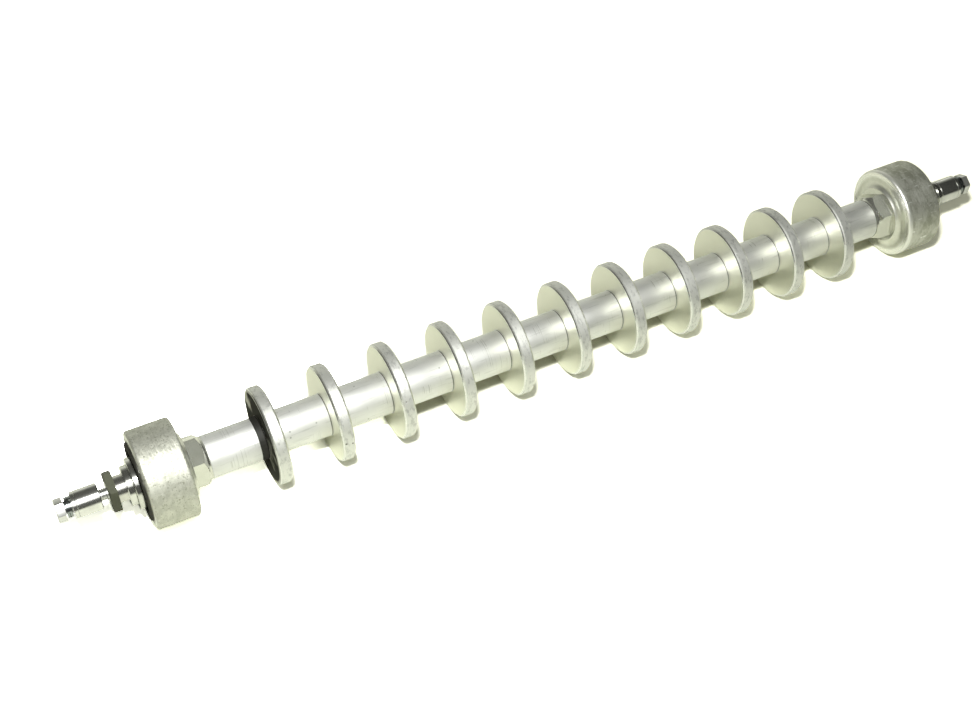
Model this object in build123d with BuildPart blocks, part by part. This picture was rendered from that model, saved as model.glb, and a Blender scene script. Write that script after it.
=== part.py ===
"""Grooved front roller of a lawn mower: eleven disc segments and two cast end drums, turning on a fixed shaft.

The roller lies along X, with the origin half way between its two bolt heads. Sizes are in millimetres.
"""
from build123d import *
import math
import os

# Roller tread
disc_count = 11
disc_pitch = 41.6
disc_width = 8.4
disc_radius = 31.75
disc_chamfer = 1.3
tube_radius = 13.8
tube_edge_chamfer = 0.4
spacer_length = 36.2

# Core tube, and the register that centres each segment in the next
core_radius = 11.7
core_wall = 1.5
register_radius = 13.0
register_length = 1.5
register_floor_gap = 0.1

# End drums
drum_step = 0.05
drum_width = 28.0
drum_edge_fillet = 2.1
hub_length = 13.6
hub_across_flats = 30.0
hub_neck_length = 1.4
hub_neck_step = 0.3
hub_cone_length = 2.4
hub_collar_radius = 19.5
hub_collar_reach = 2.5
dome_foot_radius = 25.5
dome_bulge = 0.9
outer_boss_radius = 25.0
outer_boss_reach = 1.4
outer_boss_fillet = 1.0
recess_mouth_chamfer = 0.6
drum_bore_radius = 10.6
recess_depth = 23.4
floor_relief_radius = 15.6
floor_relief_depth = 1.2
core_socket_floor = 1.2
left_hub_turn = 20.8
right_hub_turn = 24.0

# Ball bearings
bearing_outside_radius = 20.0
bearing_width = 12.0
bearing_edge_chamfer = 0.6
inner_ring_radius = 12.25
outer_ring_bore_radius = 16.6
ball_radius = 3.37
ball_count = 8
ball_pitch_radius = 14.25
cage_inner_radius = 13.1
cage_outer_radius = 15.4
cage_back = 4.4
cage_front = 1.2

# Snap ring and seal in each drum
snap_ring_thickness = 1.75
snap_ring_depth = 2.0
snap_groove_depth = 1.25
snap_ring_opening = 40.0
snap_lug_spread = 4.0
snap_lug_radius = 2.3
snap_lug_hole_radius = 1.0
seal_width = 7.0
seal_lip_reach = 1.6
seal_hollow_depth = 2.2
wear_sleeve_radius = 12.0

# Fixed shaft
journal_radius = 8.5
shaft_middle_radius = 9.5
nut_thread_radius = 8.0
shaft_end_chamfer = 0.5
left_bare_length = 5.8
right_bare_length = 12.7
bolt_hole_depth = 28.0

# Pieces on the shaft beside each drum
shield_radius = 16.3
shield_thickness = 3.7
shield_inset = 0.3
shield_fillet = 0.7
collar_radius = 12.75
collar_width = 4.0
collar_chamfer = 0.4
grub_screw_radius = 1.5
grub_screw_turn = 35.0
nut_across_flats = 24.0
nut_thickness = 5.1
nut_turn = 17.4
retaining_ring_thickness = 1.6
retaining_ring_outside = 9.5
retaining_groove_radius = 7.9
retaining_ring_from_end = 2.4
retaining_ring_opening = 50.0

# Bolted ends
bracket_gap = 4.8
sleeve_radius = 8.5
sleeve_length = 14.5
sleeve_chamfer = 0.5
flat_washer_radius = 8.4
flat_washer_thickness = 2.0
spring_washer_radius = 6.4
spring_washer_height = 4.8
spring_washer_slit = 1.0
spring_washer_slit_turn = 60.0
spring_washer_groove = 0.5
bolt_radius = 4.0
bolt_shank_length = 45.0
bolt_end_chamfer = 0.8
head_across_flats = 13.0
head_height = 5.3
left_head_turn = 31.0
right_head_turn = 25.0

# Clearances
seat_gap = 0.03
running_gap = 0.05
ball_gap = 0.08
bolt_hole_gap = 0.2

# Derived sizes
hexagon_corner = 1 / math.cos(math.radians(30))
corner_bevel_slope = math.tan(math.radians(30))
hub_corner_radius = hub_across_flats / 2 * hexagon_corner
core_bore_radius = core_radius - core_wall
groove_length = disc_pitch - disc_width
half_disc_span = (disc_count - 1) / 2 * disc_pitch
drum_radius = disc_radius - drum_step

# Reaches from the middle disc's centre to the outer end of each piece, at the left and then at the right
left_hub_reach = half_disc_span + disc_width / 2 + spacer_length
right_hub_reach = half_disc_span + disc_width / 2 + groove_length
drum_reach = hub_length + drum_width + outer_boss_reach
stack_reach = drum_reach - shield_inset + shield_thickness + collar_width
left_shaft_reach = left_hub_reach + stack_reach + left_bare_length + nut_thickness
right_shaft_reach = right_hub_reach + stack_reach + right_bare_length
sleeve_to_head = sleeve_length + flat_washer_thickness + spring_washer_height + head_height
left_reach = left_shaft_reach + bracket_gap + sleeve_to_head
right_reach = right_shaft_reach + sleeve_to_head
roller_centre = (left_reach - right_reach) / 2

# Each side: the direction away from the roller's middle, and the plane of its drum's inner face
sides = {"left": -1, "right": 1}
drum_face = {
    "left": roller_centre - left_hub_reach - hub_length,
    "right": roller_centre + right_hub_reach + hub_length,
}
hub_turn = {"left": left_hub_turn, "right": right_hub_turn}
shaft_end = {"left": roller_centre - left_shaft_reach, "right": roller_centre + right_shaft_reach}
sleeve_start = {"left": shaft_end["left"] - bracket_gap, "right": shaft_end["right"]}
head_turn = {"left": left_head_turn, "right": right_head_turn}

# Depths in each drum, measured outwards from its inner face
lip_depth = drum_width + outer_boss_reach
bearing_floor = lip_depth - recess_depth
bearing_outer_face = bearing_floor + bearing_width
seal_start = bearing_outer_face + snap_ring_thickness + 2 * seat_gap
shield_start = lip_depth - shield_inset
ball_plane = bearing_floor + bearing_width / 2

pieces = []


def keep(piece, label):
    piece.label = label
    pieces.append(piece)


def turned(points):
    """A solid of revolution about X from a closed outline of (x, radius) points."""
    with BuildPart() as piece:
        with BuildSketch(Plane.XZ):
            with BuildLine():
                Polyline(*points, close=True)
            make_face()
        revolve(axis=Axis.X)
    return piece.part


def ring(start, end, bore, outside, edge=0.0):
    """A plain ring between two planes, with both outer edges chamfered by edge."""
    way = 1 if end > start else -1
    outline = [(start, bore), (end, bore)]
    if edge:
        outline += [(end, outside - edge), (end - way * edge, outside)]
        outline += [(start + way * edge, outside), (start, outside - edge)]
    else:
        outline += [(end, outside), (start, outside)]
    return turned(outline)


def hexagon_form(start, end, across_flats, turn, bore=0.0):
    """A hexagon along X with the corners of its outer end turned away, as on a nut or a bolt head."""
    corner = across_flats / 2 * hexagon_corner
    bevel = (corner - across_flats / 2) * corner_bevel_slope
    way = 1 if end > start else -1
    with BuildPart() as form:
        with BuildSketch(Plane.YZ.offset(min(start, end))):
            RegularPolygon(corner, 6, rotation=turn)
        extrude(amount=abs(end - start))
        with BuildSketch(Plane.XZ):
            with BuildLine():
                Polyline(
                    (start, bore),
                    (end, bore),
                    (end, across_flats / 2),
                    (end - way * bevel, corner),
                    (start, corner),
                    close=True,
                )
            make_face()
        revolve(axis=Axis.X, mode=Mode.INTERSECT)
    return form.part


# Segments: each is a disc with a bored tube to its right
def segment(number):
    left = roller_centre - half_disc_span + number * disc_pitch - disc_width / 2
    right = left + disc_width
    tube_end = right + groove_length
    bore = core_radius + seat_gap
    socket = register_radius + seat_gap
    socket_floor = left + register_length + register_floor_gap
    return turned(
        [
            (socket_floor, bore),
            (tube_end + register_length, bore),
            (tube_end + register_length, register_radius),
            (tube_end, register_radius),
            (tube_end, tube_radius - tube_edge_chamfer),
            (tube_end - tube_edge_chamfer, tube_radius),
            (right, tube_radius),
            (right, disc_radius - disc_chamfer),
            (right - disc_chamfer, disc_radius),
            (left + disc_chamfer, disc_radius),
            (left, disc_radius - disc_chamfer),
            (left, socket),
            (socket_floor, socket),
        ]
    )


for number in range(disc_count):
    keep(segment(number), f"segment_{number + 1:02d}")

# Spacer tube between the left hub and the first disc, with a register at both ends
spacer_left = roller_centre - left_hub_reach
spacer_right = spacer_left + spacer_length
keep(
    turned(
        [
            (spacer_left - register_length, core_radius + seat_gap),
            (spacer_right + register_length, core_radius + seat_gap),
            (spacer_right + register_length, register_radius),
            (spacer_right, register_radius),
            (spacer_right, tube_radius - tube_edge_chamfer),
            (spacer_right - tube_edge_chamfer, tube_radius),
            (spacer_left + tube_edge_chamfer, tube_radius),
            (spacer_left, tube_radius - tube_edge_chamfer),
            (spacer_left, register_radius),
            (spacer_left - register_length, register_radius),
        ]
    ),
    "spacer_tube",
)

# Core tube, from the floor of one hub's socket to the other's
core_left = drum_face["left"] + core_socket_floor
core_right = drum_face["right"] - core_socket_floor
keep(ring(core_left, core_right, core_bore_radius, core_radius, tube_edge_chamfer), "core_tube")


# End drums: cast body, turned recess, milled hexagon
def drum(side):
    way = sides[side]
    face = drum_face[side]

    def at(depth):
        return face + way * depth

    hub_end = at(-hub_length)
    cone_start = at(hub_neck_length - hub_length)
    cone_end = at(hub_neck_length + hub_cone_length - hub_length)
    dome_top = (at(-hub_collar_reach), hub_collar_radius)
    dome_foot = (face, dome_foot_radius)
    socket = register_radius + seat_gap
    socket_floor = at(register_length + register_floor_gap - hub_length)
    groove_start = bearing_outer_face + seat_gap
    groove_end = groove_start + snap_ring_thickness + seat_gap
    with BuildPart() as casting:
        with BuildSketch(Plane.XZ):
            with BuildLine():
                Polyline(
                    dome_foot,
                    (face, drum_radius),
                    (at(drum_width), drum_radius),
                    (at(drum_width), outer_boss_radius),
                    (at(lip_depth), outer_boss_radius),
                    (at(lip_depth), drum_bore_radius),
                    (hub_end, drum_bore_radius),
                    (hub_end, tube_radius),
                    (cone_start, tube_radius + hub_neck_step),
                    (cone_end, hub_corner_radius),
                    (cone_end, hub_collar_radius),
                    dome_top,
                )
                SagittaArc(dome_top, dome_foot, -way * dome_bulge)
            make_face()
        revolve(axis=Axis.X)
        rims = casting.edges().filter_by(GeomType.CIRCLE).group_by(SortBy.RADIUS)[-1]
        fillet(rims, drum_edge_fillet)
        lip = casting.faces().filter_by(GeomType.PLANE).sort_by(lambda f: way * f.center().X)[-1]
        fillet(lip.outer_wire().edges(), outer_boss_fillet)
        # Bearing recess, with its snap ring groove, floor relief and chamfered mouth
        with BuildSketch(Plane.XZ):
            with BuildLine():
                Polyline(
                    (at(bearing_floor - floor_relief_depth), 0),
                    (at(bearing_floor - floor_relief_depth), floor_relief_radius),
                    (at(bearing_floor), floor_relief_radius),
                    (at(bearing_floor), bearing_outside_radius + seat_gap),
                    (at(groove_start), bearing_outside_radius + seat_gap),
                    (at(groove_start), bearing_outside_radius + snap_groove_depth),
                    (at(groove_end), bearing_outside_radius + snap_groove_depth),
                    (at(groove_end), bearing_outside_radius + seat_gap),
                    (at(lip_depth - recess_mouth_chamfer), bearing_outside_radius + seat_gap),
                    (at(lip_depth), bearing_outside_radius + recess_mouth_chamfer),
                    (at(lip_depth), 0),
                    close=True,
                )
            make_face()
        revolve(axis=Axis.X, mode=Mode.SUBTRACT)
        # Socket for the core tube, and the register in the hub's end
        with BuildSketch(Plane.XZ):
            with BuildLine():
                Polyline(
                    (hub_end, 0),
                    (hub_end, socket),
                    (socket_floor, socket),
                    (socket_floor, core_radius + seat_gap),
                    (at(-core_socket_floor), core_radius + seat_gap),
                    (at(-core_socket_floor), 0),
                    close=True,
                )
            make_face()
        revolve(axis=Axis.X, mode=Mode.SUBTRACT)
        # Wrench flats, milled from the hub's end to the round collar
        flats_end = at(-hub_collar_reach)
        with BuildSketch(Plane.YZ.offset(min(hub_end, flats_end))):
            Circle(dome_foot_radius)
            RegularPolygon(hub_corner_radius, 6, rotation=hub_turn[side], mode=Mode.SUBTRACT)
        extrude(amount=abs(hub_end - flats_end), mode=Mode.SUBTRACT)
    return casting.part


# Ball bearing: rings with a groove that follows the balls, a crown cage and the balls
def bearing_ring(side, bore, outside, chamfer_outer):
    way = sides[side]
    inner_face = drum_face[side] + way * bearing_floor
    outer_face = drum_face[side] + way * bearing_outer_face
    centre = drum_face[side] + way * ball_plane
    edge = bearing_edge_chamfer
    if chamfer_outer:
        outline = [
            (inner_face, bore),
            (outer_face, bore),
            (outer_face, outside - edge),
            (outer_face - way * edge, outside),
            (inner_face + way * edge, outside),
            (inner_face, outside - edge),
        ]
    else:
        outline = [
            (inner_face, bore + edge),
            (inner_face + way * edge, bore),
            (outer_face - way * edge, bore),
            (outer_face, bore + edge),
            (outer_face, outside),
            (inner_face, outside),
        ]
    with BuildPart() as race:
        with BuildSketch(Plane.XZ):
            with BuildLine():
                Polyline(*outline, close=True)
            make_face()
            with Locations((centre, ball_pitch_radius)):
                Circle(ball_radius + ball_gap, mode=Mode.SUBTRACT)
        revolve(axis=Axis.X)
    return race.part


def balls(side):
    centre = drum_face[side] + sides[side] * ball_plane
    with BuildPart() as group:
        with Locations(Plane.YZ.offset(centre)):
            with PolarLocations(ball_pitch_radius, ball_count):
                Sphere(ball_radius)
    return group.part


def cage(side):
    way = sides[side]
    centre = drum_face[side] + way * ball_plane
    with BuildPart() as crown:
        with BuildSketch(Plane.YZ.offset(min(centre - way * cage_front, centre + way * cage_back))):
            Circle(cage_outer_radius)
            Circle(cage_inner_radius, mode=Mode.SUBTRACT)
        extrude(amount=cage_front + cage_back)
        with Locations(Plane.YZ.offset(centre)):
            with PolarLocations(ball_pitch_radius, ball_count):
                Sphere(ball_radius + ball_gap, mode=Mode.SUBTRACT)
    return crown.part


def opening_wedge(angle, outside):
    """The wedge, twice as long as a ring's radius, that cuts the gap between the ring's two ends."""
    with BuildSketch() as wedge:
        with BuildLine():
            arm_a = PolarLine((0, 0), 2 * outside, -angle / 2)
            arm_b = PolarLine((0, 0), 2 * outside, angle / 2)
            Line(arm_a @ 1, arm_b @ 1)
        make_face()
    return wedge.sketch


# Snap ring in the drum's groove: a spring steel C with two holed lugs
def snap_ring(side):
    way = sides[side]
    start = drum_face[side] + way * (bearing_outer_face + seat_gap)
    end = start + way * snap_ring_thickness
    outside = bearing_outside_radius + snap_groove_depth - seat_gap
    inside = bearing_outside_radius - snap_ring_depth
    lug_angle = snap_ring_opening / 2 + snap_lug_spread
    with BuildPart() as clip:
        with BuildSketch(Plane.YZ.offset(min(start, end))):
            Circle(outside)
            Circle(inside, mode=Mode.SUBTRACT)
            add(opening_wedge(snap_ring_opening, outside), mode=Mode.SUBTRACT)
            with PolarLocations(inside, 2, start_angle=-lug_angle, angular_range=4 * lug_angle):
                Circle(snap_lug_radius)
            with PolarLocations(inside, 2, start_angle=-lug_angle, angular_range=4 * lug_angle):
                Circle(snap_lug_hole_radius, mode=Mode.SUBTRACT)
        extrude(amount=snap_ring_thickness)
    return clip.part


# Rubber seal with a lip that runs on the wear sleeve
def seal(side):
    way = sides[side]

    def at(depth):
        return drum_face[side] + way * (seal_start + depth)

    lip = wear_sleeve_radius + running_gap
    web = wear_sleeve_radius + seal_lip_reach
    return turned(
        [
            (at(0), web + seal_lip_reach),
            (at(0), bearing_outside_radius),
            (at(seal_width), bearing_outside_radius),
            (at(seal_width), web),
            (at(seal_width - seal_lip_reach), lip),
            (at(seal_width - 2 * seal_lip_reach), web),
            (at(seal_hollow_depth), web),
            (at(seal_hollow_depth), web + seal_lip_reach),
        ]
    )


# Pieces on the fixed shaft, from the bearing outwards
def wear_sleeve(side):
    way = sides[side]
    start = drum_face[side] + way * bearing_outer_face
    end = drum_face[side] + way * shield_start
    return ring(start, end, journal_radius + seat_gap, wear_sleeve_radius, bearing_edge_chamfer)


def shield_washer(side):
    way = sides[side]
    start = drum_face[side] + way * shield_start
    end = start + way * shield_thickness
    with BuildPart() as washer:
        with BuildSketch(Plane.YZ.offset(min(start, end))):
            Circle(shield_radius)
            Circle(journal_radius + seat_gap, mode=Mode.SUBTRACT)
        extrude(amount=shield_thickness)
        outer = washer.edges().filter_by(GeomType.CIRCLE).filter_by(lambda e: e.radius > collar_radius)
        fillet(outer, shield_fillet)
    return washer.part


def collar_span(side):
    start = drum_face[side] + sides[side] * (shield_start + shield_thickness)
    return start, start + sides[side] * collar_width


def screw_plane(side):
    start, end = collar_span(side)
    middle = ((start + end) / 2, 0, 0)
    return Plane(origin=middle, z_dir=Vector(0, 1, 0)).rotated((grub_screw_turn, 0, 0))


def clamp_collar(side):
    start, end = collar_span(side)
    with BuildPart() as collar:
        add(ring(start, end, journal_radius + seat_gap, collar_radius, collar_chamfer))
        with BuildSketch(screw_plane(side)):
            Circle(grub_screw_radius + seat_gap)
        extrude(amount=2 * collar_radius, mode=Mode.SUBTRACT)
    return collar.part


def grub_screw(side):
    with BuildPart() as screw:
        with BuildSketch(screw_plane(side).offset(journal_radius)):
            Circle(grub_screw_radius)
        extrude(amount=collar_radius - journal_radius - collar_chamfer)
        with BuildSketch(screw_plane(side).offset(collar_radius - collar_chamfer)):
            RegularPolygon(grub_screw_radius / 2, 6)
        extrude(amount=-grub_screw_radius, mode=Mode.SUBTRACT)
    return screw.part


def end_sleeve(side):
    start = sleeve_start[side]
    end = start + sides[side] * sleeve_length
    return ring(start, end, bolt_radius + bolt_hole_gap, sleeve_radius, sleeve_chamfer)


def flat_washer(side):
    start = sleeve_start[side] + sides[side] * sleeve_length
    end = start + sides[side] * flat_washer_thickness
    return ring(start, end, bolt_radius + bolt_hole_gap, flat_washer_radius)


# Spring washer of two turns: a ring with a groove between the turns and a slanted slit through both
def spring_washer(side):
    way = sides[side]
    start = sleeve_start[side] + way * (sleeve_length + flat_washer_thickness)
    end = start + way * spring_washer_height
    middle = (start + end) / 2
    groove = spring_washer_groove
    with BuildPart() as washer:
        with BuildSketch(Plane.XZ):
            with BuildLine():
                Polyline(
                    (start, bolt_radius + bolt_hole_gap),
                    (end, bolt_radius + bolt_hole_gap),
                    (end, spring_washer_radius),
                    (middle + way * groove, spring_washer_radius),
                    (middle, spring_washer_radius - groove),
                    (middle - way * groove, spring_washer_radius),
                    (start, spring_washer_radius),
                    close=True,
                )
            make_face()
        revolve(axis=Axis.X)
        with BuildSketch(Plane(origin=(middle, 0, 0), z_dir=(0, -1, 0))):
            Rectangle(2 * spring_washer_height, spring_washer_slit, rotation=spring_washer_slit_turn)
        extrude(amount=2 * spring_washer_radius, mode=Mode.SUBTRACT)
    return washer.part


def end_bolt(side):
    way = sides[side]
    under_head = sleeve_start[side] + way * (sleeve_to_head - head_height)
    outer_end = under_head + way * head_height
    shank_end = under_head - way * bolt_shank_length
    shank = [
        (under_head, 0),
        (shank_end, 0),
        (shank_end, bolt_radius - bolt_end_chamfer),
        (shank_end + way * bolt_end_chamfer, bolt_radius),
        (under_head, bolt_radius),
    ]
    with BuildPart() as bolt:
        add(hexagon_form(under_head, outer_end, head_across_flats, head_turn[side]))
        add(turned(shank))
    return bolt.part


for side in sides:
    keep(drum(side), f"drum_{side}")
    keep(bearing_ring(side, outer_ring_bore_radius, bearing_outside_radius, True), f"bearing_outer_ring_{side}")
    keep(bearing_ring(side, journal_radius + seat_gap, inner_ring_radius, False), f"bearing_inner_ring_{side}")
    keep(balls(side), f"bearing_balls_{side}")
    keep(cage(side), f"bearing_cage_{side}")
    keep(snap_ring(side), f"snap_ring_{side}")
    keep(seal(side), f"shaft_seal_{side}")
    keep(wear_sleeve(side), f"wear_sleeve_{side}")
    keep(shield_washer(side), f"shield_washer_{side}")
    keep(clamp_collar(side), f"clamp_collar_{side}")
    keep(grub_screw(side), f"grub_screw_{side}")
    keep(end_sleeve(side), f"end_sleeve_{side}")
    keep(flat_washer(side), f"flat_washer_{side}")
    keep(spring_washer(side), f"spring_washer_{side}")
    keep(end_bolt(side), f"end_bolt_{side}")

# Lock nut on the shaft's left end, against the journal's shoulder
nut_inner_face = shaft_end["left"] + nut_thickness
keep(
    hexagon_form(nut_inner_face, shaft_end["left"], nut_across_flats, nut_turn, nut_thread_radius + seat_gap),
    "lock_nut",
)

# Retaining ring in its groove near the shaft's right end
retaining_outer_face = shaft_end["right"] - retaining_ring_from_end
retaining_inner_face = retaining_outer_face - retaining_ring_thickness
with BuildPart() as retaining_ring:
    with BuildSketch(Plane.YZ.offset(retaining_inner_face)):
        Circle(retaining_ring_outside)
        Circle(retaining_groove_radius + seat_gap, mode=Mode.SUBTRACT)
        add(opening_wedge(retaining_ring_opening, retaining_ring_outside), mode=Mode.SUBTRACT)
    extrude(amount=retaining_ring_thickness)
keep(retaining_ring.part, "retaining_ring")

# Shaft: a thicker middle between the bearings, journals, the nut's thread and a tapped hole in each end
bearing_shoulder = {side: drum_face[side] + sides[side] * bearing_floor for side in sides}
hole_radius = bolt_radius + seat_gap
left_end = shaft_end["left"]
right_end = shaft_end["right"]
with BuildPart() as shaft:
    with BuildSketch(Plane.XZ):
        with BuildLine():
            Polyline(
                (left_end + bolt_hole_depth, 0),
                (left_end + bolt_hole_depth, hole_radius),
                (left_end, hole_radius),
                (left_end, nut_thread_radius - shaft_end_chamfer),
                (left_end + shaft_end_chamfer, nut_thread_radius),
                (nut_inner_face, nut_thread_radius),
                (nut_inner_face, journal_radius),
                (bearing_shoulder["left"], journal_radius),
                (bearing_shoulder["left"], shaft_middle_radius),
                (bearing_shoulder["right"], shaft_middle_radius),
                (bearing_shoulder["right"], journal_radius),
                (retaining_inner_face - seat_gap, journal_radius),
                (retaining_inner_face - seat_gap, retaining_groove_radius),
                (retaining_outer_face + seat_gap, retaining_groove_radius),
                (retaining_outer_face + seat_gap, journal_radius),
                (right_end - shaft_end_chamfer, journal_radius),
                (right_end, journal_radius - shaft_end_chamfer),
                (right_end, hole_radius),
                (right_end - bolt_hole_depth, hole_radius),
                (right_end - bolt_hole_depth, 0),
                close=True,
            )
        make_face()
    revolve(axis=Axis.X)
keep(shaft.part, "shaft")

os.makedirs("parts", exist_ok=True)
for piece in pieces:
    export_step(piece, f"parts/{piece.label}.step")
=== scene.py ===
"""Looks of the grooved lawn mower roller, in metres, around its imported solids. The roller lies along X."""
import math

import bmesh
import bpy
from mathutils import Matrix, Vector


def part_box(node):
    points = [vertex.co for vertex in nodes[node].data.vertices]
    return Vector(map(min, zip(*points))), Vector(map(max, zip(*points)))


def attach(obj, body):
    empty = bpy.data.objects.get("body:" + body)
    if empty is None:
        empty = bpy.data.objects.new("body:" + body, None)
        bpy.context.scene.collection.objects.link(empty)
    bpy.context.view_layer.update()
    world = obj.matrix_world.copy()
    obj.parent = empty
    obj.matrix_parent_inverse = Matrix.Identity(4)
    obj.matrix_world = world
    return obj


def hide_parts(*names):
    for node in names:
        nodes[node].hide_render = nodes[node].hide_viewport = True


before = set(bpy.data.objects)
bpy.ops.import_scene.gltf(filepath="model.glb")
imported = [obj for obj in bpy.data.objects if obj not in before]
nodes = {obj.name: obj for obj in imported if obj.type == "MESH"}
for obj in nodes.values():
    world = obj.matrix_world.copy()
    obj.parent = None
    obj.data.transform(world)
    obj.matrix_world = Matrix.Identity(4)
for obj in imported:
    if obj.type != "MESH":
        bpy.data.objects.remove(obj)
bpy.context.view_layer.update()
bpy.context.scene.view_settings.view_transform = "Standard"


# Fixed shaft. One ground steel bar that never turns: both bearings sit on it, and its bare ends show
# beside the nut at the left and beside the retaining ring at the right.
class Value:
    """An output of a shader node. Arithmetic on values adds Math nodes, and node() adds any other node."""

    def __init__(self, tree, socket):
        self.tree = tree
        self.socket = socket

    def node(self, kind, settings=None, inputs=None, output=0):
        """Adds a node: its settings are set first, then the values or links of its sockets."""
        added = self.tree.nodes.new(kind)
        for name, setting in (settings or {}).items():
            setattr(added, name, setting)
        for name, value in (inputs or {}).items():
            if isinstance(value, Value):
                self.tree.links.new(value.socket, added.inputs[name])
            else:
                added.inputs[name].default_value = value
        return Value(self.tree, added.outputs[output])

    def maths(self, operation, first, second=0.0):
        return self.node("ShaderNodeMath", {"operation": operation}, {0: first, 1: second})

    def __add__(self, other):
        return self.maths("ADD", self, other)

    def __radd__(self, other):
        return self.maths("ADD", other, self)

    def __sub__(self, other):
        return self.maths("SUBTRACT", self, other)

    def __rsub__(self, other):
        return self.maths("SUBTRACT", other, self)

    def __mul__(self, other):
        return self.maths("MULTIPLY", self, other)

    def __rmul__(self, other):
        return self.maths("MULTIPLY", other, self)

    def step(self, low, high):
        """0 under low and 1 over high, with a smooth rise between, or a fall where low is the larger."""
        settings = {"interpolation_type": "SMOOTHSTEP"}
        return self.node("ShaderNodeMapRange", settings, {"Value": self, "From Min": low, "From Max": high})

    def noise(self, place, scale, detail=2.0, roughness=0.5):
        sockets = {"Vector": place, "Scale": scale, "Detail": detail, "Roughness": roughness}
        return self.node("ShaderNodeTexNoise", {}, sockets)

    def point(self, x, y, z):
        return self.node("ShaderNodeCombineXYZ", {}, {"X": x, "Y": y, "Z": z})

    def parts(self):
        """The X, Y and Z of a vector."""
        split = self.node("ShaderNodeSeparateXYZ", {}, {0: self})
        return [Value(self.tree, output) for output in split.socket.node.outputs]

    def blend(self, low, high):
        """A colour between two, by this value."""
        sockets = {0: self, 6: low, 7: high}
        for key in (6, 7):
            if not isinstance(sockets[key], Value):
                sockets[key] = (*sockets[key], 1)
        return self.node("ShaderNodeMix", {"data_type": "RGBA"}, sockets, 2)


def start_material(name):
    """A new material with its Principled shader, and the place on the object that its patterns follow."""
    material = bpy.data.materials.new(name)
    material.use_nodes = True
    tree = material.node_tree
    shader = tree.nodes["Principled BSDF"]
    place = Value(tree, None).node("ShaderNodeTexCoord", output="Object")
    return material, shader, place


def feed(shader, place, **sockets):
    """Links or sets the Principled shader's sockets, named with underscores for spaces."""
    for name, value in sockets.items():
        socket = shader.inputs[name.replace("_", " ")]
        if isinstance(value, Value):
            place.tree.links.new(value.socket, socket)
        else:
            socket.default_value = value


def cover(shader, place, mask, base):
    """Lays a dull coat without any gloss over the Principled shader where the mask is 1."""
    dull = {"Base Color": (*base, 1), "Roughness": 0.7, "Specular IOR Level": 0.0}
    coat = place.node("ShaderNodeBsdfPrincipled", {}, dull)
    bare = Value(place.tree, shader.outputs["BSDF"])
    mix = place.node("ShaderNodeMixShader", {}, {0: mask, 1: bare, 2: coat})
    place.tree.links.new(mix.socket, place.tree.nodes["Material Output"].inputs["Surface"])


def bump(place, height, distance, strength=1.0, normal=None):
    """Raises the surface by the height, on top of another bump if one is given."""
    sockets = {"Height": height, "Distance": distance, "Strength": strength}
    if normal:
        sockets["Normal"] = normal
    return place.node("ShaderNodeBump", {}, sockets)


def axis_place(place):
    """The three coordinates, and the distance from the axis, which turned marks follow on rims and faces."""
    x, y, z = place.parts()
    return x, y, z, place.maths("SQRT", y * y + z * z)


def turned_marks(place, x, radius, pitch):
    """Rings left by a lathe tool or a grinding wheel, uneven from one to the next."""
    ring = place.point(x * (1 / pitch), radius * (1 / pitch), 0.0)
    return place.noise(ring, 1.0, 3.0, 0.7)


def steel(name, base, roughness, marks_pitch, marks_depth, metal=1.0):
    """Ground or plated steel, with fine rings round the axis and faint smears."""
    material, shader, place = start_material(name)
    x, _, _, radius = axis_place(place)
    marks = turned_marks(place, x, radius, marks_pitch)
    smears = place.noise(place, 140.0, 4.0, 0.6)
    colour = smears.step(0.4, 0.7).blend(base, tuple(0.84 * part for part in base))
    rough = roughness + smears * 0.6 * roughness
    lines = bump(place, marks, marks_depth, 0.8)
    feed(shader, place, Base_Color=colour, Metallic=metal, Roughness=rough, Normal=lines)
    return material


def paint(material, *names):
    """Gives CAD nodes a material in place of their own."""
    for name in names:
        mesh = nodes[name].data
        mesh.materials.clear()
        mesh.materials.append(material)


SIDES = {"left": -1, "right": 1}


def both(name):
    return [f"{name}_{side}" for side in SIDES]


ground_steel = steel("ground_steel", (0.68, 0.68, 0.64), 0.16, 0.0003, 0.000006)
paint(ground_steel, "shaft")

# Core tube. Plain drawn steel tube inside the stack, from hub to hub, which keeps the segments in line.
drawn_steel = steel("drawn_steel", (0.55, 0.55, 0.54), 0.3, 0.0004, 0.00001)
paint(drawn_steel, "core_tube")


# Segments. Each is turned from one bar of aluminium: a narrow disc, and a tube to its right whose end
# is pushed into the next disc. They are satin from the lathe, and the treads are scuffed and nicked.
def added(name):
    """Names the new primitive and puts its place and turn into its mesh."""
    piece = bpy.context.object
    piece.name = name
    piece.data.name = name
    bpy.ops.object.transform_apply(location=True, rotation=True, scale=True)
    return piece


def only(piece):
    bpy.ops.object.select_all(action="DESELECT")
    piece.select_set(True)
    bpy.context.view_layer.objects.active = piece


def add_rod(name, start, end, radius, corners):
    """A round bar along X, the blank that a turned piece starts from."""
    bpy.ops.object.select_all(action="DESELECT")
    bpy.ops.mesh.primitive_cylinder_add(
        vertices=corners,
        radius=radius,
        depth=end - start,
        location=((start + end) / 2, 0, 0),
        rotation=(0, math.pi / 2, 0),
    )
    return added(name)


def choose(piece, kind, test):
    """In edit mode, selects the faces, edges or vertices that pass the test, and no others."""
    bpy.ops.mesh.select_mode(type=kind)
    bpy.ops.mesh.select_all(action="DESELECT")
    mesh = bmesh.from_edit_mesh(piece.data)
    for item in {"FACE": mesh.faces, "EDGE": mesh.edges, "VERT": mesh.verts}[kind]:
        if test(item):
            item.select_set(True)
    bmesh.update_edit_mesh(piece.data)


def reach(vertex):
    return math.hypot(vertex.co.y, vertex.co.z)


def beyond(radius):
    """The faces that lie wholly further than that from the axis."""
    return lambda face: all(reach(vertex) > radius for vertex in face.verts)


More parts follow.
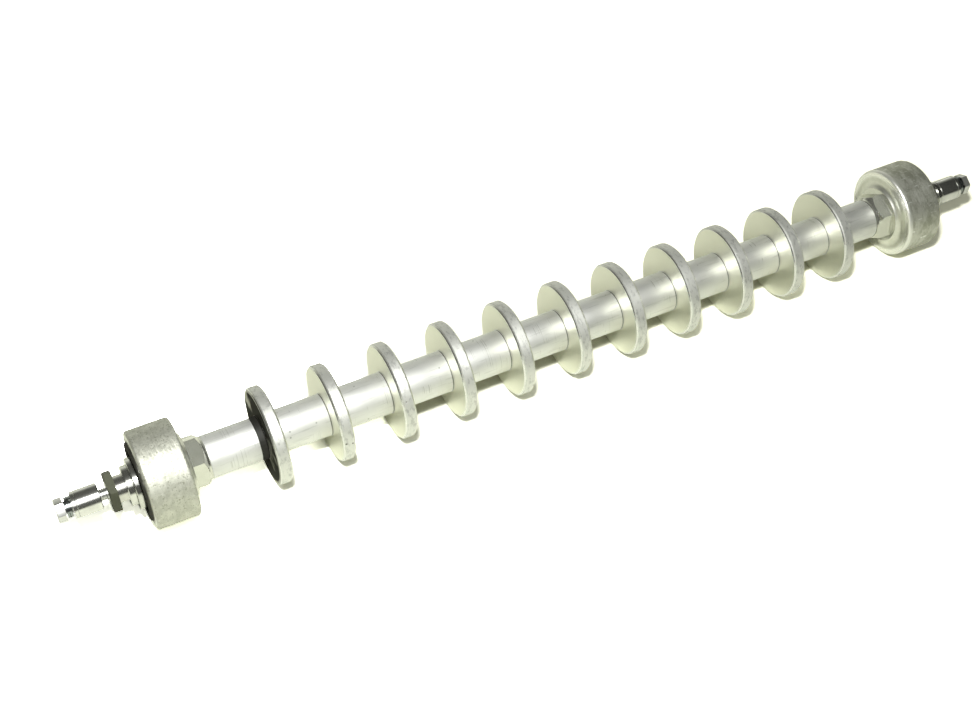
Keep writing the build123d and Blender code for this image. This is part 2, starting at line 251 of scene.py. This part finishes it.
def cap(way):
    """The flat end that faces one way along the axis."""
    return lambda face: way * face.normal.x > 0.9 and math.hypot(*face.calc_center_median().yz) < 1e-5


def ring_at(radius, place=None):
    """The edges of the ring at that distance from the axis, and at that place along it if one is given."""

    def test(edge):
        first, second = edge.verts
        level = abs(first.co.x - second.co.x) < 1e-6
        round_it = all(abs(reach(vertex) - radius) < 1e-5 for vertex in edge.verts)
        return level and round_it and (place is None or abs(first.co.x - place) < 1e-5)

    return test


def finish_mesh(piece, angle=40.0):
    """Leaves edit mode and shades smooth all edges under that angle."""
    bpy.ops.object.mode_set(mode="OBJECT")
    only(piece)
    bpy.ops.object.shade_smooth_by_angle(angle=math.radians(angle))


def nick(piece, group_name, radius, grain, depth):
    """Presses marks no deeper than depth into all that lies beyond the radius."""
    only(piece)
    group = piece.vertex_groups.new(name=group_name)
    group.add([vertex.index for vertex in piece.data.vertices if reach(vertex) > radius], 1.0, "REPLACE")
    texture = bpy.data.textures.new(group_name, "CLOUDS")
    texture.noise_scale = grain
    dents = piece.modifiers.new(group_name, "DISPLACE")
    dents.texture = texture
    dents.texture_coords = "LOCAL"
    dents.vertex_group = group_name
    dents.mid_level = 1.0
    dents.strength = depth
    bpy.ops.object.modifier_apply(modifier=dents.name)


segment_count = 11
segment_names = [f"segment_{number:02d}" for number in range(1, segment_count + 1)]
disc_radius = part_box("segment_02")[1].z
tube_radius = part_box("spacer_tube")[1].z
disc_width = 0.0084
rim_chamfer = 0.0013
register_radius = 0.0130
register_length = 0.0015
socket_play = 0.00005
bore_radius = 0.01173
tube_edge = 0.0004
segment_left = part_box("segment_01")[0].x
segment_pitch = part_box("segment_02")[0].x - segment_left
tube_end = segment_left + segment_pitch
turn_between = 2.1
scuff_grain = 0.0022
scuff_depth = 0.00012

blank = add_rod("turned_segment_01", segment_left, segment_left + disc_width, disc_radius, 256)
bpy.ops.object.mode_set(mode="EDIT")
choose(blank, "FACE", cap(1))
bpy.ops.mesh.inset(thickness=disc_radius - tube_radius)
bpy.ops.mesh.extrude_region_move(TRANSFORM_OT_translate={"value": (segment_pitch - disc_width, 0, 0)})
bpy.ops.mesh.inset(thickness=tube_radius - register_radius)
bpy.ops.mesh.extrude_region_move(TRANSFORM_OT_translate={"value": (register_length, 0, 0)})
bpy.ops.mesh.inset(thickness=register_radius - bore_radius)
choose(blank, "FACE", cap(-1))
bpy.ops.mesh.inset(thickness=disc_radius - register_radius - socket_play)
bpy.ops.mesh.extrude_region_move(TRANSFORM_OT_translate={"value": (register_length + socket_play, 0, 0)})
bpy.ops.mesh.inset(thickness=register_radius + socket_play - bore_radius)
choose(blank, "FACE", lambda face: cap(1)(face) or cap(-1)(face))
bpy.ops.mesh.bridge_edge_loops()
choose(blank, "EDGE", ring_at(disc_radius))
bpy.ops.mesh.bevel(offset=rim_chamfer, segments=1)
choose(blank, "EDGE", ring_at(tube_radius, tube_end))
bpy.ops.mesh.bevel(offset=tube_edge, segments=2, profile=0.5)
tread_band = disc_radius - rim_chamfer * 1.1
choose(blank, "FACE", beyond(tread_band))
bpy.ops.mesh.subdivide(number_cuts=1)
choose(blank, "FACE", beyond(disc_radius - 1e-5))
bpy.ops.mesh.subdivide(number_cuts=1)
finish_mesh(blank)

turned_segments = [blank]
for number in range(2, segment_count + 1):
    only(blank)
    bpy.ops.object.duplicate()
    bpy.ops.transform.rotate(value=number * turn_between, orient_axis="X", center_override=(0, 0, 0))
    bpy.ops.transform.translate(value=((number - 1) * segment_pitch, 0, 0))
    turned_segments.append(added(f"turned_segment_{number:02d}"))
for piece, name in zip(turned_segments, segment_names):
    nick(piece, "scuffs", tread_band, scuff_grain, scuff_depth)
    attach(piece, "roller")
    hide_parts(name)

turned, shader, place = start_material("turned_aluminium")
x, y, z, radius = axis_place(place)
from_left = x - segment_left
marks = turned_marks(place, x, radius, 0.00022)
patches = place.noise(place, 28.0, 4.0, 0.6)
from_disc = place.maths("FLOORED_MODULO", from_left, segment_pitch)
on_tube = radius.step(tube_radius + 0.0003, tube_radius + 0.0001)
on_tread = radius.step(disc_radius - 0.0009, disc_radius - 0.0003)
seam = from_disc.step(segment_pitch - 0.0008, segment_pitch - 0.0004) * on_tube
tread_edge = radius.step(disc_radius - 0.0016, disc_radius - 0.0011) * (1 - on_tread)
on_face = radius.step(tube_radius + 0.0002, tube_radius + 0.0006)
on_face = on_face * radius.step(disc_radius - 0.0012, disc_radius - 0.0016)

# The treads are scuffed and pitted, and grey dust sits in their grain
scuffs = place.noise(place.point(x * 460.0, y * 240.0, z * 240.0), 1.0, 4.0, 0.65).step(0.48, 0.66) * on_tread
pits = place.node("ShaderNodeTexVoronoi", {}, {"Vector": place, "Scale": 240.0}).step(0.20, 0.12)
pits = pits * place.noise(place, 70.0, 1.0).step(0.62, 0.68) * on_tread * 0.75
dust = place.noise(place, 620.0, 3.0, 0.6)
clean = patches.step(0.35, 0.65).blend((0.84, 0.85, 0.825), (0.78, 0.79, 0.765))
# The discs' faces are tinted cream in their colour: a painted reflection of the pale floor
colour = on_face.blend(clean, (0.86, 0.865, 0.75))
colour = on_tread.blend(colour, (0.76, 0.77, 0.73))
colour = (scuffs * 0.55).blend(colour, (0.42, 0.43, 0.41))
colour = pits.blend(colour, (0.07, 0.07, 0.06))

# The tubes have faint rings, lines along them, a few specks, and a dark seam where each enters the next disc
rings = place.noise(place.point(x * 1600.0, radius * 10.0, patches * 3.0), 1.0, 2.0, 0.6).step(0.60, 0.68)
rings = rings * place.noise(place, 90.0, 2.0).step(0.50, 0.60) * on_tube
colour = (rings * 0.45).blend(colour, (0.34, 0.35, 0.31))
drawn = place.noise(place.point(x * 45.0, y * 520.0, z * 520.0), 1.0, 3.0, 0.6).step(0.56, 0.68) * on_tube
colour = (drawn * 0.35).blend(colour, (0.50, 0.51, 0.48))
specks = place.node("ShaderNodeTexVoronoi", {}, {"Vector": place, "Scale": 190.0}).step(0.16, 0.08)
specks = specks * place.noise(place, 60.0, 1.0).step(0.60, 0.65) * on_tube
colour = (specks * 0.45).blend(colour, (0.16, 0.16, 0.14))
colour = (seam * 0.9).blend(colour, (0.10, 0.10, 0.08))
rough = 0.38 + patches * 0.10 + on_tread * 0.10 - tread_edge * 0.20
rough = rough + on_tube * (0.08 + x.step(0.05, -0.20) * 0.10)

# The first disc's left face, less so in noise patches and towards its rim, and the tube's end beside it are laid
# over near-black
on_first_face = from_left.step(0.0006, 0.0002) * (1 - on_tube)
paler_patches = place.noise(place.point(0.0, y * 34.0, z * 34.0), 1.0, 3.0, 0.55).step(0.52, 0.66)
paler_patches = paler_patches * 0.45 + radius.step(disc_radius - 0.0035, disc_radius - 0.0015) * 0.5
on_tube_end = from_left.step(-0.0048, -0.0045) * from_left.step(0.0010, 0.0005) * on_tube
near_black_cover = place.maths("MAXIMUM", on_first_face * (1 - paler_patches), on_tube_end)
cover(shader, place, near_black_cover * 0.96, (0.012, 0.012, 0.009))
fine = bump(place, marks, 0.00002, 0.9)
grain = bump(place, dust * on_tread, 0.00012, 0.5, fine)
dents = bump(place, 1 - pits, 0.0003, 0.8, grain)
waves = bump(place, place.noise(place, 45.0, 2.0) * on_tube, 0.0008, 1.0, dents)
feed(shader, place, Base_Color=colour, Metallic=0.94, Roughness=rough, Normal=waves)
for piece in turned_segments:
    piece.data.materials.append(turned)
paint(turned, "spacer_tube", *segment_names)


# End drums. Sand cast in aluminium, each in one piece with its hexagonal hub. The tread keeps the sand's
# grain, while the inner face, the hub with its flats and the recess for the bearing are machined.
drum_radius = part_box("drum_left")[1].z
drums_middle = (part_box("drum_left")[0].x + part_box("drum_right")[1].x) / 2
drums_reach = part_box("drum_right")[1].x - drums_middle
drum_width = 0.0280
boss_reach = 0.0014
hub_length = 0.0136
face_reach = drums_reach - boss_reach - drum_width
tread_from = drum_radius - 0.0022
ring_spacing = 0.0005
hub_edge = 0.0004
boss_blend = 0.0020
crease = 0.3
sand_depth = 0.00022


def hub_corner(edge):
    """An edge between two faces of the hub that meet at an angle, clear of the drum's face and the bore."""
    if len(edge.link_faces) != 2 or edge.calc_face_angle() < crease:
        return False
    depths = [face_reach - abs(vertex.co.x - drums_middle) for vertex in edge.verts]
    along_hub = min(depths) > boss_blend and max(depths) < hub_length - hub_edge
    return along_hub and min(map(reach, edge.verts)) > tube_radius


cast_drums = []
for side, way in SIDES.items():
    only(nodes[f"drum_{side}"])
    bpy.ops.object.duplicate()
    drum = added(f"cast_drum_{side}")
    bpy.ops.object.mode_set(mode="EDIT")
    bpy.ops.mesh.select_all(action="SELECT")
    bpy.ops.mesh.remove_doubles(threshold=0.000002)
    bpy.ops.mesh.dissolve_limited(angle_limit=math.radians(0.5))
    choose(drum, "EDGE", hub_corner)
    bpy.ops.mesh.bevel(offset=hub_edge, segments=2, clamp_overlap=True)
    choose(drum, "FACE", beyond(tread_from))
    for ring in range(1, int(drum_width / ring_spacing)):
        cut = drums_middle + way * (face_reach + ring * ring_spacing)
        bpy.ops.mesh.bisect(plane_co=(cut, 0, 0), plane_no=(1, 0, 0))
        choose(drum, "FACE", beyond(tread_from))
    bpy.ops.object.mode_set(mode="OBJECT")
    nick(drum, "lumps", tread_from, 0.0060, sand_depth)
    nick(drum, "sand", tread_from, 0.0014, sand_depth)
    finish_mesh(drum, 35.0)
    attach(drum, "roller")
    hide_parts(f"drum_{side}")
    cast_drums.append(drum)

cast, shader, place = start_material("cast_aluminium")
x, y, z, radius = axis_place(place)
depth = place.maths("ABSOLUTE", x - drums_middle) - face_reach
on_rim = radius.step(tread_from, tread_from + 0.0010)
on_hub = depth.step(-boss_blend, -boss_blend - 0.0010)

# The skin is grainy at the left. The right drum is worn smoother, in mottles. Its inner rounded edge has a painted
# highlight in its colour, over a truly lower roughness
marks = turned_marks(place, x, radius, 0.0003)
grain = place.noise(place, 800.0, 3.0, 0.65)
smoothness = x.step(-0.1, 0.1)
lumps = place.noise(place, 170.0, 4.0, 0.65)
streaks = place.noise(place.point(x * 1500.0, y * 90.0, z * 90.0), 1.0, 3.0, 0.6)
scratches = place.noise(place.point(x * 160.0, y * 900.0, z * 160.0), 1.0, 2.0, 0.5).step(0.63, 0.70)
skin_colour = lumps.step(0.38, 0.64).blend((0.52, 0.53, 0.46), (0.64, 0.65, 0.57))
skin_colour = (streaks.step(0.50, 0.70) * 0.4).blend(skin_colour, (0.74, 0.745, 0.68))
skin_colour = (grain.step(0.44, 0.34) * (0.85 - smoothness * 0.7)).blend(skin_colour, (0.32, 0.33, 0.26))
mottles = place.noise(place.point(x * 110.0, y * 55.0, z * 55.0), 1.0, 5.0, 0.75).step(0.38, 0.60)
skin_colour = (smoothness * 0.6).blend(skin_colour, mottles.blend((0.33, 0.34, 0.26), (0.74, 0.75, 0.67)))
skin_colour = (scratches * (0.2 + smoothness * 0.7)).blend(skin_colour, (0.90, 0.91, 0.86))
painted_edge_highlight = radius.step(drum_radius - 0.0060, drum_radius - 0.0035) * depth.step(0.0040, 0.0020) * smoothness
machined = lumps.step(0.35, 0.65).blend((0.72, 0.73, 0.64), (0.80, 0.81, 0.73))
colour = on_rim.blend(machined, skin_colour)
# Painted highlight: the right drum's inner rounded edge is coloured near white
colour = painted_edge_highlight.blend(colour, (0.97, 0.975, 0.91))
colour = (on_hub * 0.5).blend(colour, (0.60, 0.61, 0.55))
rough = 0.32 + on_rim * (0.22 + grain * 0.10 - lumps * 0.05 - smoothness * 0.12)
rough = rough + marks * 0.06 - on_hub * 0.21 - painted_edge_highlight * 0.08

# The outer face is laid over near-black from its boss inwards, round the recess
outer_face_black = depth.step(drum_width - 0.0003, drum_width + 0.0002) * radius.step(0.0300, 0.0275)
cover(shader, place, outer_face_black * 0.95, (0.02, 0.02, 0.016))
height = on_rim * (grain + streaks * 0.6)
skin = bump(place, height, 0.00022, 0.8, bump(place, marks, 0.00001, 0.6))
feed(shader, place, Base_Color=colour, Metallic=0.92, Roughness=rough, Normal=skin)
for drum in cast_drums:
    drum.data.materials.clear()
    drum.data.materials.append(cast)
paint(cast, *both("drum"))

# Ball bearings. One in each drum's recess, of bright hardened steel with a moulded cage.
bearing_steel = steel("bearing_steel", (0.72, 0.72, 0.73), 0.12, 0.0003, 0.000003)
paint(bearing_steel, *both("bearing_inner_ring"), *both("bearing_outer_ring"), *both("bearing_balls"))


def moulded(name, base, roughness):
    """Plastic or rubber with a little dust on it."""
    material, shader, place = start_material(name)
    dust = place.noise(place, 300.0, 3.0, 0.6)
    colour = dust.step(0.4, 0.8).blend(base, tuple(min(1.0, 1.5 * part + 0.02) for part in base))
    dusty = bump(place, dust, 0.00005, 0.5)
    feed(shader, place, Base_Color=colour, Roughness=roughness + dust * 0.1, Normal=dusty)
    return material


paint(moulded("cage_polymer", (0.72, 0.64, 0.42), 0.4), *both("bearing_cage"))

# Snap rings and seals. A black spring steel ring keeps each bearing in, and a rubber lip seal covers it.
black_steel = steel("black_steel", (0.08, 0.08, 0.08), 0.35, 0.0004, 0.00001)
paint(black_steel, *both("snap_ring"))
paint(moulded("seal_rubber", (0.02, 0.02, 0.02), 0.55), *both("shaft_seal"))

# Wear sleeves, shield washers and collars. Turned steel rings clamped on the shaft beside each drum,
# bright plated, with a black grub screw in each collar.
paint(ground_steel, *both("wear_sleeve"))
bright_plate = steel("bright_plate", (0.74, 0.75, 0.71), 0.12, 0.0004, 0.000005)
paint(bright_plate, *both("shield_washer"), *both("clamp_collar"), "retaining_ring")
paint(black_steel, *both("grub_screw"))

# Lock nut. A thin hexagon nut on the shaft's left end, in a dull olive plating.
olive_plate = steel("olive_plate", (0.085, 0.09, 0.06), 0.45, 0.0004, 0.00001, 0.5)
paint(olive_plate, "lock_nut")

# End sleeves and flat washers. Polished tubes that the mower's brackets close on, and their washers.
polished = steel("polished_steel", (0.84, 0.85, 0.82), 0.14, 0.0005, 0.000002)
paint(polished, *both("end_sleeve"), *both("flat_washer"))


# Spring washers. Two turns of square spring wire, wound, cut square and plated dark.
def shut_ends(piece):
    """Closes the open ends that a sweep leaves, and points all the faces outwards."""
    bpy.ops.object.mode_set(mode="EDIT")
    choose(piece, "EDGE", lambda edge: len(edge.link_faces) == 1)
    bpy.ops.mesh.edge_face_add()
    bpy.ops.mesh.select_all(action="SELECT")
    bpy.ops.mesh.normals_make_consistent(inside=False)


def wind(piece, turns, lead, steps):
    """Sweeps the piece's outline round the axis, moving it along by lead in each turn."""
    coil = piece.modifiers.new("coil", "SCREW")
    coil.axis = "X"
    coil.angle = math.radians(360.0)
    coil.iterations = turns
    coil.screw_offset = lead
    coil.steps = steps
    coil.render_steps = steps
    only(piece)
    bpy.ops.object.modifier_apply(modifier="coil")


wire = 0.00205
washer_turns = 2
washer_inside = 0.0042
washer_radius = 0.0064
dark_plate = steel("dark_plate", (0.34, 0.37, 0.37), 0.16, 0.0003, 0.000006)
for side in SIDES:
    low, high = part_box(f"spring_washer_{side}")
    lead = (high.x - low.x - wire) / washer_turns
    bpy.ops.object.select_all(action="DESELECT")
    bpy.ops.mesh.primitive_plane_add(size=1.0, location=(low.x + wire / 2, 0, (washer_inside + washer_radius) / 2))
    bpy.ops.transform.rotate(value=math.pi / 2, orient_axis="X", center_override=bpy.context.object.location)
    bpy.ops.transform.resize(value=(wire, 1.0, washer_radius - washer_inside))
    spring = added(f"wound_washer_{side}")
    bpy.ops.object.mode_set(mode="EDIT")
    bpy.ops.mesh.select_all(action="SELECT")
    bpy.ops.mesh.delete(type="ONLY_FACE")
    bpy.ops.object.mode_set(mode="OBJECT")
    wind(spring, washer_turns, lead, 64)
    shut_ends(spring)
    finish_mesh(spring)
    spring.data.materials.append(dark_plate)
    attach(spring, "fixed_shaft")
    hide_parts(f"spring_washer_{side}")
paint(dark_plate, *both("spring_washer"))


# End bolts. Bright zinc-plated hexagon bolts, screwed into the shaft's ends: a forged head with turned
# corners on a rolled thread, which shows in the gap between the nut and the left sleeve.
head_across = 0.0130
head_height = 0.0053
head_corner = head_across / math.sqrt(3)
head_edge = 0.00022
seat_inset = 0.0012
crown_inset = 0.0011
crown_depth = (head_corner - head_across / 2) * math.tan(math.radians(30))
core_radius = 0.00345
thread_radius = 0.00400
thread_pitch = 0.00125
thread_foot = 0.84 * thread_pitch
thread_start = 0.0006
thread_short = 0.0022
root_overlap = 0.00005
tip_play = 0.00002
head_turns = {"left": 16.0, "right": 25.0}
zinc = steel("zinc_plate", (0.78, 0.79, 0.77), 0.27, 0.0005, 0.000004)

for side, way in SIDES.items():
    low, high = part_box(f"end_bolt_{side}")
    outer = high.x if way > 0 else low.x
    inner = low.x if way > 0 else high.x
    under_head = outer - way * head_height
    bolt = add_rod(f"screwed_bolt_{side}", min(under_head, outer), max(under_head, outer), head_corner, 6)
    bpy.ops.object.mode_set(mode="EDIT")
    bpy.ops.mesh.select_all(action="SELECT")
    bpy.ops.transform.rotate(
        value=math.radians(head_turns[side]), orient_axis="X", center_override=(under_head, 0, 0)
    )
    choose(bolt, "EDGE", lambda edge: abs(edge.verts[0].co.x - edge.verts[1].co.x) > head_height / 2)
    bpy.ops.mesh.bevel(offset=head_edge, segments=2)
    choose(bolt, "FACE", cap(way))
    bpy.ops.mesh.inset(thickness=crown_inset)
    choose(bolt, "VERT", lambda vertex: abs(vertex.co.x - outer) < 1e-6 and reach(vertex) > head_across / 2)
    bpy.ops.transform.translate(value=(-way * crown_depth, 0, 0))
    choose(bolt, "FACE", cap(-way))
    bpy.ops.mesh.inset(thickness=head_corner - core_radius - seat_inset)
    bpy.ops.object.mode_set(mode="OBJECT")
    finish_mesh(bolt, 25.0)

    core = add_rod("core", min(inner, under_head), max(inner, under_head), core_radius, 48)
    bpy.ops.object.select_all(action="DESELECT")
    bpy.ops.mesh.primitive_circle_add(vertices=3)
    thread = added("thread")
    start = min(inner, under_head) + thread_start
    root = core_radius - root_overlap
    profile = ((thread_foot / 2, thread_radius - tip_play), (thread_foot, root), (0.0, root))
    for vertex, (along, out) in zip(thread.data.vertices, profile):
        vertex.co = (start + along, 0.0, out)
    wind(thread, int((abs(under_head - inner) - thread_short) / thread_pitch), thread_pitch, 32)
    shut_ends(thread)
    finish_mesh(thread, 30.0)
    bpy.ops.object.select_all(action="DESELECT")
    for part in (core, thread, bolt):
        part.select_set(True)
    bpy.context.view_layer.objects.active = bolt
    bpy.ops.object.join()
    bolt.data.materials.clear()
    bolt.data.materials.append(zinc)
    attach(bolt, "fixed_shaft")
    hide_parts(f"end_bolt_{side}")
paint(zinc, *both("end_bolt"))

# The studio. The roller lies on pale paper that shows white to the camera away from the shadows. A small
# key light and a large soft one hang above the camera, in a dark room with pale walls behind and at the right.
floor_level = -disc_radius
bpy.ops.object.select_all(action="DESELECT")
bpy.ops.mesh.primitive_plane_add(size=12.0, location=(0, 0, floor_level))
floor = added("floor")
floor_finish, shader, place = start_material("floor_paper")
seen = place.node("ShaderNodeLightPath", output="Is Camera Ray")
x, y, _ = place.parts()
clear = 1 - y.step(0.13, 0.05) * y.step(-0.12, -0.04) * x.step(-0.44, -0.36) * x.step(0.44, 0.36)

# The paper is painted far paler to the camera at the left end and in the gap after the second disc, which washes
# out the shadows there, but not under the first disc. It is also paler to the camera towards the right, where the
# lamps are weaker
far_end = x.step(-0.10, 0.40)
from_left = x - segment_left
second_gap = (from_left - segment_pitch).step(0.012, 0.017) * (from_left - segment_pitch * 2).step(0.003, -0.003)
first_contact = from_left.step(-0.004, 0.004) * from_left.step(0.022, 0.017) * y.step(0.003, -0.002)
washed_out = place.maths("MAXIMUM", x.step(-0.163, -0.185), second_gap) * (1 - first_contact)
lightest = (4.6, 4.6, 4.5)
paper = washed_out.blend(far_end.blend((1.04, 1.04, 0.94), (1.60, 1.60, 1.34)), lightest)
# Painted shade: just behind the contact line, the paper turns to this darker colour where ambient occlusion is
# strong
shade = washed_out.blend(far_end.blend((0.50, 0.50, 0.39), (0.76, 0.76, 0.58)), lightest)
open_above = place.node("ShaderNodeAmbientOcclusion", {"samples": 8}, {"Distance": 0.03}, 1)
paper = (open_above.step(0.80, 0.45) * y.step(-0.003, 0.004)).blend(paper, shade)
bounce = y.step(-0.42, -0.10).blend((0.40, 0.41, 0.35), (0.75, 0.765, 0.65))
colour = seen.blend(bounce, paper)
feed(shader, place, Base_Color=colour, Roughness=0.9, Specular_IOR_Level=0.0)
feed(shader, place, Emission_Color=(seen * clear).blend((0, 0, 0), (1, 1, 1)), Emission_Strength=1.0)
floor.data.materials.append(floor_finish)

world = bpy.data.worlds.new("studio")
bpy.context.scene.world = world
world.use_nodes = True
tree = world.node_tree
direction = Value(tree, None).node("ShaderNodeTexCoord", output="Generated")
sideways, ahead, height = direction.parts()
wall = ahead.step(0.10, 0.60) * height.step(0.70, -0.05) * sideways.step(-0.60, -0.10)
right_wall = sideways.step(0.05, 0.30) * sideways.step(0.57, 0.47)
room = sideways.step(0.40, 0.56).blend((0.09, 0.09, 0.08), (0.02, 0.02, 0.018))
room = right_wall.blend(room, (0.36, 0.37, 0.33))
room = wall.blend(room, (0.92, 0.93, 0.82))
seen = direction.node("ShaderNodeLightPath", output="Is Camera Ray")
tree.links.new(seen.blend(room, (1.0, 1.0, 1.0)).socket, tree.nodes["Background"].inputs["Color"])


def soft_light(name, place, target, width, height, power):
    """A rectangular lamp that faces its target and stays out of the camera's sight."""
    light = bpy.data.lights.new(name, "AREA")
    light.shape = "RECTANGLE"
    light.size = width
    light.size_y = height
    light.energy = power
    light.color = (1.0, 1.0, 0.98)
    lamp = bpy.data.objects.new(name, light)
    bpy.context.scene.collection.objects.link(lamp)
    lamp.location = place
    lamp.rotation_euler = (Vector(target) - Vector(place)).to_track_quat("-Z", "Y").to_euler()
    lamp.visible_camera = False


soft_light("soft_box", (-0.45, -0.54, 0.86), (-0.15, 0.0, 0.0), 0.8, 0.55, 1.5)
soft_light("key_light", (-0.31, -0.44, 0.88), (-0.05, 0.0, 0.0), 0.08, 0.08, 12.6)

camera_data = bpy.data.cameras.new("camera")
camera_data.sensor_width = 36.0
camera_data.lens = 53.04
camera = bpy.data.objects.new("camera", camera_data)
bpy.context.scene.collection.objects.link(camera)
camera.location = (-0.3448, -0.5825, 0.6758)
look_at = Vector((-0.0519, 0.0, 0.0033))
camera.rotation_euler = (look_at - camera.location).to_track_quat("-Z", "Y").to_euler()
bpy.context.scene.camera = camera
